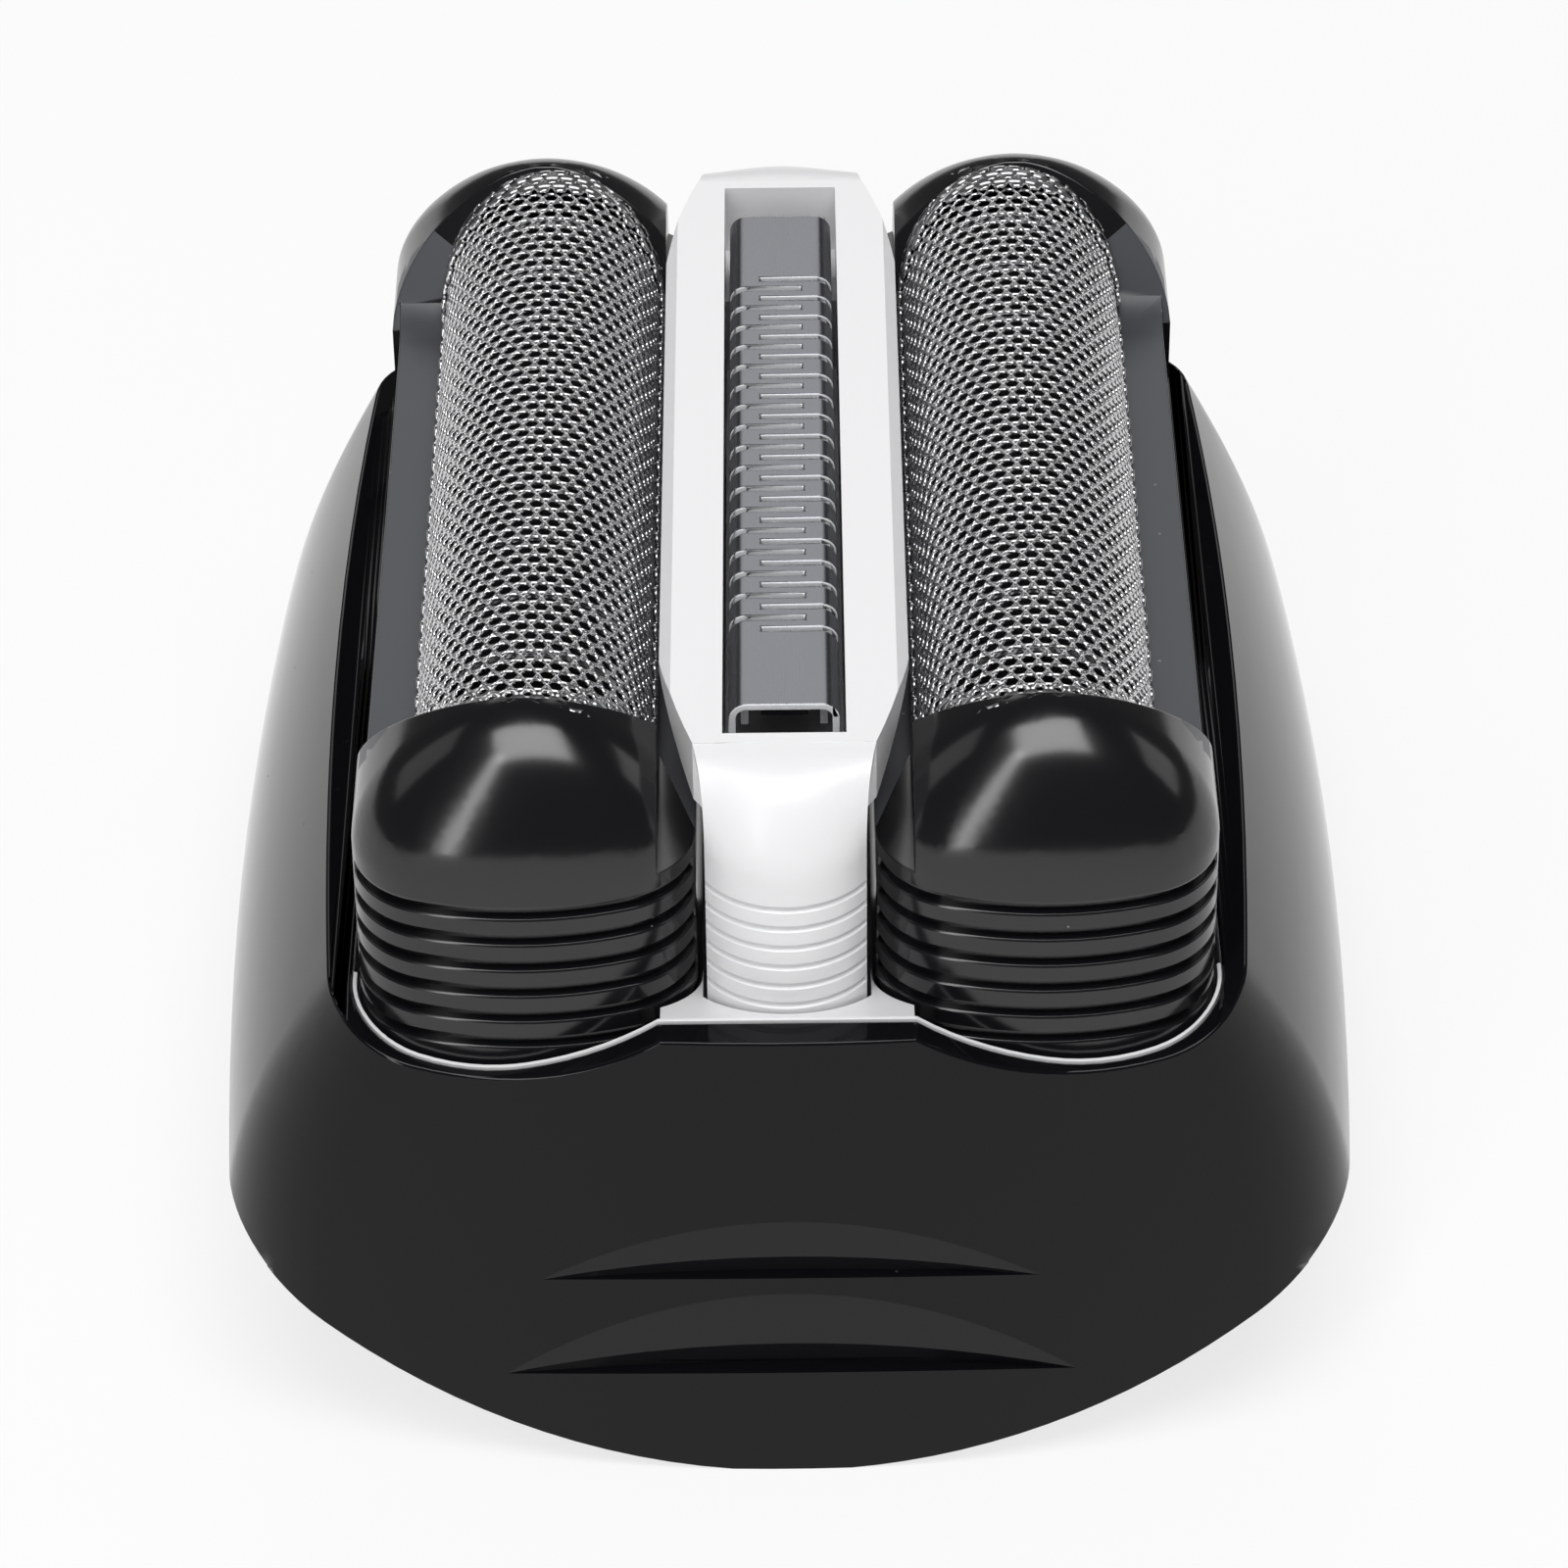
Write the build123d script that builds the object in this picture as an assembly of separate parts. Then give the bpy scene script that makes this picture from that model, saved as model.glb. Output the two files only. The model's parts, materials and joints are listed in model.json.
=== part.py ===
"""Foil-and-cutter cassette of a foil shaver.

X runs across the two foils, Y along them and Z up. The origin is the middle of the lowest edge of the
skirt, so the cassette stands on z = 0. All sizes are in millimetres.
"""
import math
import os

from build123d import *

# Foils
foil_spacing = 16.7
foil_radius = 3.95
foil_wall = 0.15
foil_apex = 29.0
foil_leg = 2.2
foil_tuck = 0.8
foil_seat_gap = 0.05
window_length = 31.7
window_slant = 33.0

# Perforation of the foils
hole_columns = 7
hole_column_angle = 23.0
hole_angle = 17.0
hole_length = 1.9
hole_web = 0.8
hole_margin = 0.4

# Foil frames and their domed end caps
rail_outer = 1.65
rail_inner = 1.4
rail_recess = 0.3
rail_drop = 0.75
ramp_length = 1.4
ramp_height = 0.8
frame_wall = 1.2
cap_rise = 0.3
cap_overhang = 4.25
cap_flare = 0.45
cap_foot = 17.0
cap_bow = 12.0
cap_corner = 3.0
cap_ceiling = 22.0
shoulder_wall = 0.15
dome_angles = (0, 24, 48, 69, 84)
dome_power = 1.7
dome_bow = 8.0
dome_corner = 3.6
cap_ribs = 6
cap_rib_start = 0.95
cap_rib_pitch = 1.04
cap_rib_depth = 0.26
cap_rib_slope = 0.42
cap_rib_ledge = 0.1
cap_rib_reach = 2.6
seat_plate = 0.9
seat_width = 2.9
lug_length = 4.0
lug_place = 6.0
lug_height = 1.4
lug_catch = 0.4

# Cutters
cutter_gap = 0.1
cutter_length = 28.4
blade_count = 9
blade_thickness = 0.25
blade_tab = 1.0
blade_tab_width = 3.8
blade_slot_gap = 0.05
blade_foot_drop = 2.0
spine_width = 4.8
flange_width = 7.4
flange_height = 1.0
flange_drop = 4.1
ledge_height = 0.8
ledge_reach = 0.75
guide_gap = 0.1
shoe_width = 4.4
shoe_length = 6.0
shoe_height = 4.4
drive_bore = 2.4
drive_depth = 3.5
cutter_stroke = 1.0

# Trimmer frame
trimmer_gap = 0.3
trimmer_drop = 1.0
trimmer_wall = 0.62
plate_clearance = 0.25
plate_edge = 0.4
plate_chamfer = 0.4
plate_slope = 2.0
plate_straight = 24.0
plate_taper_bow = 0.12
plate_crown = 0.05
stem_front = 20.2
stem_bend = 3.3
stem_nose = 3.2
stem_depth = 3.6
bend_core = 0.5
bend_spread = 0.35
bend_angles = (0, 30, 60, 90)
stem_ribs = 6
stem_rib_start = 1.1
stem_rib_pitch = 0.81
stem_rib_depth = 0.22
stem_rib_height = 0.56
slot_length = 32.8
beam_depth = 6.6
floor_height = 0.8

# Trimmer comb, blade and driver
comb_gap = 0.19
comb_sheet = 0.25
comb_round = 0.6
comb_drop = 0.15
comb_depth = 2.6
comb_end_gap = 1.7
comb_slots = 35
comb_pitch = 0.62
comb_slot = 0.24
comb_mouth = 0.36
comb_bridge = 1.1
comb_wall_slit = 1.3
blade_gap = 0.15
blade_under = 0.08
blade_depth = 1.4
blade_length = 27.0
blade_teeth = 16
blade_pitch = 1.3
blade_slit = 0.5
driver_flange = 0.85
driver_length = 12.0
driver_web = 1.6
driver_web_depth = 2.7
driver_web_length = 22.0
driver_post_width = 2.0
driver_post_length = 4.0
driver_post = 4.8
driver_bore = 1.2
driver_bore_depth = 3.0
driver_play = 0.3
trimmer_stroke = 0.9

# Housing
housing_wall = 0.9
rim_height = 19.4
rim_flange = 1.9
rim_end_flange = 3.2
rim_end_start = 17.5
rim_width = 1.05
rim_ledge = 0.1
lobe_wall = 0.55
flare_side = 4.85
flare_end = 0.05
flare_start = 4.0
side_bow = 190.0
end_bow = 65.0
skirt_corner = 5.0
rim_corner = 4.2
skirt_arc = 26.6
foot_drop = 0.08
scallop_depth = 2.0
scallop_start = 4.25
scallop_x = 10.5
grips = ((4.6, 3.7, 0.64), (9.0, 2.6, 0.47))
grip_width = 24.0
grip_arch = 80.0
grip_drop = 0.8
catch_height = 5.4
catch_size = 0.8
catch_width = 9.0
hook_length = 5.0
hook_place = 8.0
hook_height = 1.0
hook_reach = 0.6

# Carrier frame and springs
plate_height = 11.0
plate_thickness = 1.5
carrier_gap = 0.1
lip_gap = 0.05
lip_wall = 0.13
lip_rise = 0.05
cap_gap = 0.12
saddle_half = 4.2
saddle_depth = 3.4
saddle_slope = 18.0
stem_gap = 0.15
port_length = 22.0
port_width = 6.8
port_centre_width = 4.0
post_place = 11.0
post_width = 1.6
post_length = 1.4
post_head = 3.2
post_head_height = 0.6
post_gap = 0.15
post_play = 0.4
foil_travel = 1.2
trimmer_travel = 1.0
spring_solid = 0.3
spring_sheet = 0.15
spring_span = 6.4
spring_width = 2.4
stem_spring_span = 4.2

# Places worked out from the sizes above
foil_x = foil_spacing / 2
arch_z = foil_apex - foil_radius
rail_top = arch_z - rail_drop
seat_radius = foil_radius + foil_seat_gap
frame_in = foil_x - seat_radius - rail_inner
rail_out = foil_x + seat_radius + rail_outer
frame_out = rail_out + rail_recess
frame_x = (frame_in + frame_out) / 2
frame_half = (frame_out - frame_in) / 2
cap_front = window_length / 2 + cap_overhang
cap_height = foil_apex + cap_rise - rail_top
slot_end = window_length / 2 + foil_tuck + foil_seat_gap
window_lean = math.tan(math.radians(window_slant))
plate_top = plate_height + plate_thickness
frame_bottom = plate_top + foil_travel + spring_solid
stem_bottom = plate_top + trimmer_travel + spring_solid
opening_gap = cap_gap + lip_wall + lip_gap
opening_half = frame_out + opening_gap
rim_half = opening_half + rim_width
frame_bow_sag = frame_x ** 2 / (2 * end_bow)
lobe_end = cap_front + cap_flare
rim_end = lobe_end + opening_gap + lobe_wall + frame_bow_sag
cavity_end = rim_end - housing_wall
skirt_half = rim_half + flare_side
skirt_end = rim_end + flare_end
trimmer_top = foil_apex - trimmer_drop
body_half = frame_in - trimmer_gap
slot_half = body_half - trimmer_wall
plate_half = foil_x - foil_radius - plate_clearance
floor_bottom = trimmer_top - beam_depth
floor_top = floor_bottom + floor_height
comb_half = slot_half - comb_gap
comb_top = trimmer_top - comb_drop
comb_end = slot_length / 2 - comb_end_gap
blade_half = comb_half - comb_sheet - blade_gap
blade_top = comb_top - comb_sheet - blade_under
flange_top = rail_top - flange_drop + flange_height
flange_bottom = flange_top - flange_height
blade_foot = arch_z - blade_foot_drop
scallop_half = scallop_x - scallop_start
scallop_radius = (scallop_half ** 2 + scallop_depth ** 2) / (2 * scallop_depth)
scallop_z = rim_height - scallop_depth + scallop_radius
big = 3 * skirt_end


# Plan outlines and small helpers
def bowed_outline(half_x, half_y, end_radius, corner, side_radius=None):
    """Plan face with bowed ends, straight or bowed sides and rounded corners."""
    x, y = half_x, half_y
    for _ in range(5):
        y = half_y - end_radius + math.sqrt(end_radius ** 2 - x ** 2)
        if side_radius:
            x = half_x - side_radius + math.sqrt(side_radius ** 2 - y ** 2)
    near = ThreePointArc((-x, -y), (0, -half_y), (x, -y))
    far = ThreePointArc((x, y), (0, half_y), (-x, y))
    if side_radius:
        right = ThreePointArc((x, -y), (half_x, 0), (x, y))
        left = ThreePointArc((-x, y), (-half_x, 0), (-x, -y))
    else:
        right = Line((x, -y), (x, y))
        left = Line((-x, y), (-x, -y))
    face = make_face([near, right, far, left])
    return fillet(face.vertices(), corner)


def upright(face, low, high):
    """Extrude a plan face from one height to another."""
    return extrude(Pos(0, 0, low) * face, high - low)


def block(x_low, x_high, y_low, y_high, z_low, z_high):
    """Box given by its limits."""
    middle = Pos((x_low + x_high) / 2, (y_low + y_high) / 2, (z_low + z_high) / 2)
    return middle * Box(x_high - x_low, y_high - y_low, z_high - z_low)


def along_y(points, low, high):
    """Extrude a closed X-Z polygon along Y."""
    face = Plane.XZ * make_face(Polyline(*points, close=True))
    return Pos(0, high, 0) * extrude(face, high - low)


def along_x(points, low, high):
    """Extrude a closed Y-Z polygon along X."""
    face = Plane.YZ * make_face(Polyline(*points, close=True))
    return Pos(low, 0, 0) * extrude(face, high - low)


def both_ends(shape):
    """A shape at the near end together with its mirror image at the far end."""
    return shape + mirror(shape, about=Plane.XZ)


def groove_ring(x, y, radius, depth, height, z):
    """Ring about an upright axis that cuts a V groove whose root lies at radius - depth."""
    root = radius - depth
    points = [(root, 0), (root + 2 * depth, -height), (root + 2 * depth, height)]
    face = Plane.XZ * make_face(Polyline(*points, close=True))
    return Pos(x, y, z) * revolve(face, Axis.Z)


def arch_face(radius, foot):
    """Face of an upright arch centred on the foil axis, with straight legs down to a foot height."""
    arc = ThreePointArc((-radius, arch_z), (0, arch_z + radius), (radius, arch_z))
    legs = Polyline((radius, arch_z), (radius, foot), (-radius, foot), (-radius, arch_z))
    return make_face([arc, legs])


def arch_bar(radius, foot, length):
    """Arch section extruded evenly both ways along Y."""
    return extrude(Plane.XZ * arch_face(radius, foot), length / 2, both=True)


# Housing
def flare(z):
    """Share of the flare that is lost at a height: none at the skirt, all of it at the rim."""
    return (max(z, flare_start) - flare_start) ** 2 / (rim_height - flare_start) ** 2


def housing_section(z, inset):
    """Outer plan of the housing at a height, drawn in by an inset."""
    half_x = skirt_half - flare_side * flare(z) - inset
    half_y = skirt_end - flare_end * flare(z)
    if inset:
        half_y = rim_end + rim_ledge - inset
    corner = skirt_corner - (skirt_corner - rim_corner) * flare(z) - inset
    return bowed_outline(half_x, half_y, end_bow - inset, corner, side_bow - inset)


def housing_body(inset, top):
    """Solid body of the housing up to a height: smooth outside, in straight steps where drawn in."""
    step = (top - flare_start) / 3
    heights = [-housing_wall, flare_start, flare_start + step, top - step, top]
    sections = [Pos(0, 0, z) * housing_section(z, inset) for z in heights]
    return loft(sections, ruled=bool(inset))


def cap_section(z, grow):
    """Plan of one foil frame about its own middle at a height of its flared ends."""
    lean = cap_flare * (rail_top - z) / (rail_top - cap_foot)
    return bowed_outline(frame_half + grow, cap_front + lean + grow, cap_bow + grow, cap_corner + grow)


def opening_outline(grow):
    """Plan round both foil frames at their feet, straight between them, with a margin all round."""
    lobe = cap_section(cap_foot, grow)
    middle = Rectangle(2 * frame_x, 2 * (lobe_end + grow))
    return Pos(-frame_x, 0) * lobe + middle + Pos(frame_x, 0) * lobe


def scallops(radius):
    """Cylinders along Y that dip the rim round the caps."""
    one = Rot(90, 0, 0) * Cylinder(radius, big)
    return Pos(-scallop_x, 0, scallop_z) * one + Pos(scallop_x, 0, scallop_z) * one


def grip_scoop(z, height, depth):
    """Wedge that cuts one crescent finger grip, with an arched ledge, into the near end wall."""
    face_y = skirt_end - flare_end * flare(z)
    low = z - grip_drop
    points = [
        (depth * (1 + grip_drop / height) - face_y, low),
        (-big, low),
        (-big, z + height),
        (-face_y, z + height),
    ]
    wedge = along_x(points, -grip_width / 2, grip_width / 2)
    return wedge - Pos(0, 0, z - grip_arch) * Rot(90, 0, 0) * Cylinder(grip_arch, 2 * big)


def make_housing():
    """Flared black skirt with its opening, scallops, bowed foot, finger grips, catches and hooks."""
    body = housing_body(0, rim_height)
    cavity = housing_body(housing_wall, rim_height - rim_flange)
    cavity -= both_ends(block(-big, big, -big, -rim_end_start, rim_height - rim_end_flange, big))
    body -= cavity
    body -= upright(opening_outline(opening_gap), plate_height - carrier_gap, rim_height + rim_flange)
    body -= scallops(scallop_radius)
    body &= Pos(0, 0, skirt_arc - foot_drop) * Rot(90, 0, 0) * Cylinder(skirt_arc, big)
    body -= block(-big, big, -big, big, -big, 0)
    for z, height, depth in grips:
        body -= both_ends(grip_scoop(z, height, depth))
    catch_z = catch_height
    catch_root = cavity_end + rim_ledge + housing_wall / 4
    catch = along_x(
        [
            (-catch_root, catch_z - catch_size),
            (catch_size - cavity_end, catch_z),
            (catch_size - cavity_end, catch_z + catch_size / 2),
            (-catch_root, catch_z + catch_size / 2),
        ],
        -catch_width / 2,
        catch_width / 2,
    )
    body += both_ends(catch)
    hook_top = plate_height
    hook_face = skirt_half - flare_side * flare(hook_top) - housing_wall
    hook_in = skirt_half - flare_side * flare(plate_top) - housing_wall - hook_reach
    for side in (-1, 1):
        for place in (-hook_place, hook_place):
            points = [
                (side * hook_in, hook_top),
                (side * hook_face, hook_top - 2 * hook_height),
                (side * (hook_face + housing_wall / 2), hook_top),
            ]
            body += along_y(points, place - hook_length / 2, place + hook_length / 2)
    return body


# Carrier frame
def stem_outline(grow):
    """Plan of one trimmer stem at the near end: rounded nose and straight back."""
    half = body_half + grow
    nose = stem_nose + grow
    front = stem_front + grow
    shoulder = front - nose + math.sqrt(nose ** 2 - half ** 2)
    back = stem_front - stem_depth - grow
    arc = ThreePointArc((-half, -shoulder), (0, -front), (half, -shoulder))
    rest = Polyline((half, -shoulder), (half, -back), (-half, -back), (-half, -shoulder))
    return make_face([arc, rest])


def make_carrier_frame():
    """White inner frame: base plate with ports, thin end lips, saddles and the trimmer's hook posts."""
    body = housing_body(housing_wall + carrier_gap, rim_height - rim_flange)
    body &= block(-big, big, -big, big, plate_height, plate_top)
    for x, width in ((-foil_x, port_width), (0, port_centre_width), (foil_x, port_width)):
        length = port_length if x else driver_length
        body -= block(x - width / 2, x + width / 2, -length / 2, length / 2, 0, rim_height)
    lip_top = rim_height + lip_rise
    lip_from = window_length / 2 + foil_tuck
    ends = both_ends(block(-big, big, -big, -lip_from, 0, big))
    outer = opening_outline(cap_gap + lip_wall)
    body += upright(outer, plate_height, plate_top) & ends
    lips = upright(outer, plate_height, lip_top) & ends
    lips -= upright(opening_outline(cap_gap), plate_top, big)
    lips -= scallops(scallop_radius - lip_rise)
    stem_back = stem_front - stem_depth
    saddle_low = rim_height - saddle_depth
    saddle_end = lobe_end + cap_gap + lip_wall / 2
    fall = (saddle_end - stem_back) * math.tan(math.radians(saddle_slope))
    side_view = [(-saddle_end, saddle_low), (-saddle_end, lip_top)]
    side_view += [(-stem_back, lip_top - fall), (-stem_back, saddle_low)]
    saddle = both_ends(along_x(side_view, -saddle_half, saddle_half))
    for side in (-1, 1):
        saddle -= upright(Pos(side * frame_x, 0) * cap_section(cap_foot, cap_gap), 0, big)
    saddle -= both_ends(upright(stem_outline(stem_gap), 0, big))
    body += lips + saddle
    head_low = floor_top + post_gap
    for y in (-post_place, post_place):
        low, high = y - post_length / 2, y + post_length / 2
        body += block(-post_width / 2, post_width / 2, low, high, plate_height, head_low)
        body += block(-post_head / 2, post_head / 2, low, high, head_low, head_low + post_head_height)
    return body


# Foil frames, drawn about the foil axis for the right-hand side
def dome_section(share, rise):
    """Plan of the near cap at one rise of its dome, as a share of its size at the base."""
    half = frame_half * share
    front = window_length / 2 + cap_overhang * share
    bow = (cap_bow + (dome_bow - cap_bow) * rise) * share
    corner_y = front - bow + math.sqrt(bow ** 2 - half ** 2)
    back = window_length / 2 - 2 * cap_height * window_lean
    arc = ThreePointArc((-half, -corner_y), (0, -front), (half, -corner_y))
    rest = Polyline((half, -corner_y), (half, -back), (-half, -back), (-half, -corner_y))
    face = make_face([arc, rest])
    corners = face.vertices().group_by(Axis.Y)[0]
    return fillet(corners, (cap_corner + (dome_corner - cap_corner) * rise) * share)


def cap_dome():
    """Domed cap over the near end of a foil, cut off along the slanted window edge."""
    sections = []
    for angle in dome_angles:
        share = math.cos(math.radians(angle)) ** (2 / dome_power)
        rise = math.sin(math.radians(angle)) ** (2 / dome_power)
        sections.append(Pos(0, 0, rail_top + cap_height * rise) * dome_section(share, rise))
    edge = window_length / 2
    drop = 2 * cap_height
    keep = along_x(
        [
            (-edge - drop * window_lean, foil_apex + drop),
            (-big, foil_apex + drop),
            (-big, foil_apex - drop),
            (drop * window_lean - edge, foil_apex - drop),
        ],
        -frame_half,
        frame_half,
    )
    return loft(sections) & keep


def cap_groove(z):
    """Saw-tooth groove round the fronts of both caps: a slope on top and a narrow ledge below."""
    low, high = z - cap_rib_ledge, z + cap_rib_slope
    margin = cap_rib_depth / 8
    sections = [
        Pos(0, 0, high) * cap_section(high, margin),
        Pos(0, 0, z) * cap_section(z, -cap_rib_depth),
        Pos(0, 0, low) * cap_section(low, margin),
    ]
    ring = upright(cap_section(z, 2 * cap_rib_depth), low, high) - loft(sections, ruled=True)
    return ring & both_ends(block(-big, big, -big, cap_rib_reach - cap_front, 0, big))


def make_foil_frame():
    """Two rails joined by hollow ribbed caps, with cutter ledges, spring seats and outer lugs."""
    shift = Pos(frame_x - foil_x, 0)
    foot = shift * cap_section(cap_foot, 0)
    solid = upright(foot, frame_bottom, cap_foot)
    solid += loft([Pos(0, 0, cap_foot) * foot, Pos(0, 0, rail_top) * shift * cap_section(rail_top, 0)])
    solid += both_ends(shift * cap_dome())
    recess_out = frame_out - foil_x
    recess_end = window_length / 2 - (foil_apex - rail_top) * window_lean
    solid -= block(recess_out - rail_recess, big, -recess_end, recess_end, 0, big)
    shoulder = -seat_radius - shoulder_wall
    solid -= block(-big, shoulder, -big, big, rail_top, big)
    ramp_top = recess_end + ramp_height * window_lean
    ramp = along_x(
        [
            (ramp_length - ramp_top, rail_top - ramp_height),
            (ramp_length - ramp_top, rail_top),
            (-ramp_top, rail_top + ramp_height),
            (-ramp_top - ramp_height, rail_top + ramp_height),
            (-ramp_top - ramp_height, rail_top - ramp_height),
        ],
        seat_radius,
        recess_out - rail_recess,
    )
    solid += both_ends(ramp)
    for number in range(cap_ribs):
        solid -= shift * cap_groove(rail_top - cap_rib_start - number * cap_rib_pitch)
    inner = frame_half - frame_wall
    hollow = upright(shift * cap_section(rail_top, -frame_wall), 0, cap_ceiling)
    solid -= hollow
    seat_in = cap_front - frame_wall - seat_width
    seats = both_ends(block(-big, big, -big, -seat_in, frame_bottom, frame_bottom + seat_plate))
    solid += hollow & seats
    solid -= arch_bar(seat_radius, cap_ceiling - frame_wall, 2 * slot_end)
    ledge_top = flange_bottom - guide_gap
    ledge_in = flange_width / 2 - ledge_reach
    ledge = cutter_length / 2
    offset = frame_x - foil_x
    for low, high in ((-inner + offset, -ledge_in), (ledge_in, inner + offset)):
        solid += block(low, high, -ledge, ledge, ledge_top - ledge_height, ledge_top)
    lug_top = rim_height - rim_flange - guide_gap
    lug_face = rail_out - foil_x
    lug_out = frame_out - foil_x + opening_gap + lug_catch
    for y in (-lug_place, lug_place):
        low, high = y - lug_length / 2, y + lug_length / 2
        solid += block(lug_face - frame_wall / 2, lug_out, low, high, lug_top - lug_height, lug_top)
    return solid


# Foil
def make_foil():
    """Thin sheet bent to an arch, with staggered holes over its open window."""
    sheet = arch_bar(foil_radius, arch_z - foil_leg, 2 * (slot_end - foil_seat_gap))
    sheet -= arch_bar(foil_radius - foil_wall, 0, 2 * slot_end)
    pitch = hole_length + hole_web
    width = 2 * foil_radius * math.sin(math.radians(hole_angle / 2))
    hole = Pos(0, 0, foil_radius) * Box(width, hole_length, foil_radius)
    cutters = []
    for column in range(hole_columns):
        angle = (column - (hole_columns - 1) / 2) * hole_column_angle
        drop = foil_radius * (1 - math.cos(math.radians(abs(angle) + hole_angle / 2)))
        room = window_length - 2 * (drop * window_lean + hole_margin) - hole_length
        stagger = column % 2
        steps = int((room / pitch - stagger) // 2) * 2 + stagger
        for row in range(steps + 1):
            y = (row - steps / 2) * pitch
            cutters.append(Pos(0, y, arch_z) * Rot(0, angle, 0) * hole)
    return sheet - cutters


# Cutters
def blade_positions():
    """Y of the middle of each cutter blade."""
    pitch = (cutter_length - 2 * frame_wall) / (blade_count - 1)
    return [(number - (blade_count - 1) / 2) * pitch for number in range(blade_count)]


def make_cutter_blades():
    """Arched blades that stand side by side under the foil, each with a tab in the carrier."""
    radius = foil_radius - foil_wall - cutter_gap
    blade = arch_bar(radius, blade_foot, blade_thickness)
    tab = blade_tab_width / 2
    half = blade_thickness / 2
    blade += block(-tab, tab, -half, half, blade_foot - blade_tab, blade_foot)
    return Compound([(Pos(0, y, 0) * blade).solid() for y in blade_positions()])


def make_cutter_carrier():
    """Sliding bar with guide flanges, a slotted spine for the blades and a seat for the drive shoe."""
    half = cutter_length / 2
    body = block(-flange_width / 2, flange_width / 2, -half, half, flange_bottom, flange_top)
    body += block(-spine_width / 2, spine_width / 2, -half, half, flange_top, blade_foot)
    slot_x = blade_tab_width / 2 + blade_slot_gap
    slot_y = blade_thickness / 2 + blade_slot_gap
    slot_low = blade_foot - blade_tab - blade_slot_gap
    for y in blade_positions():
        body -= block(-slot_x, slot_x, y - slot_y, y + slot_y, slot_low, big)
    return body


def make_drive_shoe():
    """Block under a cutter carrier with a round socket for the shaver's drive pin."""
    low = flange_bottom - shoe_height
    x, y = shoe_width / 2, shoe_length / 2
    body = block(-x, x, -y, y, low, flange_bottom)
    upright_edges = body.edges().filter_by(Axis.Z)
    body = fillet(upright_edges, shoe_width / 4)
    return body - upright(Circle(drive_bore / 2), low - 1, low + drive_depth)


# Trimmer
def boat_outline():
    """Plan of the trimmer's top: widest along the middle, tapering to the stems."""
    wide = plate_straight / 2
    narrow = stem_front - stem_bend
    neck = body_half + bend_spread
    middle = ((plate_half + neck) / 2 + plate_taper_bow, (wide + narrow) / 2)
    edges = []
    for x_side in (-1, 1):
        edges.append(Line((x_side * plate_half, -wide), (x_side * plate_half, wide)))
        edges.append(Line((-neck, x_side * narrow), (neck, x_side * narrow)))
        for y_side in (-1, 1):
            places = ((plate_half, wide), middle, (neck, narrow))
            edges.append(ThreePointArc(*((x_side * x, y_side * y) for x, y in places)))
    return make_face(edges)


def bend_section(angle):
    """Section of the near bend: flat where it leaves the plate, rounded like the stem where it ends."""
    turn = math.radians(angle)
    nose_sag = stem_nose - math.sqrt(stem_nose ** 2 - body_half ** 2)
    sag = plate_crown + (nose_sag - plate_crown) * math.sin(turn) ** 2
    side = stem_bend - sag
    half = body_half + bend_spread * (1 - math.sin(turn)) ** 2
    arc = ThreePointArc((-half, side), (0, stem_bend), (half, side))
    rest = Polyline((half, side), (body_half, bend_core), (-body_half, bend_core), (-half, side))
    centre = (0, stem_bend - stem_front, trimmer_top - stem_bend)
    plane = Plane(origin=centre, x_dir=(1, 0, 0), z_dir=(0, -math.cos(turn), -math.sin(turn)))
    return plane * make_face([arc, rest])


def make_stem():
    """Near stem of the trimmer frame with the bend above it."""
    bend_y, bend_z = stem_bend - stem_front, trimmer_top - stem_bend
    body = loft([bend_section(angle) for angle in bend_angles])
    reach = 2 * bend_core
    body += block(-body_half, body_half, bend_y - reach, bend_y + bend_core, bend_z - reach, bend_z + reach)
    return body + upright(stem_outline(0), stem_bottom, bend_z)


def mushroom_outline():
    """Front view of the trimmer frame: narrow body under a wider plate with chamfered edges."""
    edge = trimmer_top - plate_chamfer - plate_edge
    points = [
        (body_half, 0),
        (body_half, edge - plate_slope),
        (plate_half, edge),
        (plate_half, edge + plate_edge),
        (plate_half - plate_chamfer, trimmer_top),
    ]
    points += [(-x, z) for x, z in reversed(points)]
    return make_face(Polyline(*points, close=True))


def make_trimmer_frame():
    """White bridge with a boat-shaped top, a long slot for the comb and ribbed stems."""
    body = extrude(Plane.XZ * mushroom_outline(), stem_front, both=True)
    body &= upright(boat_outline(), floor_bottom, trimmer_top)
    body += both_ends(make_stem())
    first = trimmer_top - stem_bend - stem_rib_start
    nose = stem_nose - stem_front
    for number in range(stem_ribs):
        z = first - number * stem_rib_pitch
        ring = groove_ring(0, nose, stem_nose, stem_rib_depth, stem_rib_height / 2, z)
        body -= both_ends(ring & block(-big, big, -big, nose, 0, big))
    long = slot_length / 2
    body -= block(-slot_half, slot_half, -long, long, floor_top, big)
    comb_foot = comb_top - comb_depth
    ledge = comb_end - comb_end_gap
    body += both_ends(block(-slot_half, slot_half, -long, -ledge, floor_top, comb_foot))
    port_x = driver_post_width / 2 + driver_play
    port_y = driver_post_length / 2 + trimmer_stroke + driver_play
    body -= block(-port_x, port_x, -port_y, port_y, 0, floor_top)
    hole_x = post_width / 2 + post_play
    hole_y = post_length / 2 + post_play
    body -= both_ends(block(-hole_x, hole_x, -post_place - hole_y, hole_y - post_place, 0, floor_top))
    return body


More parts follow.
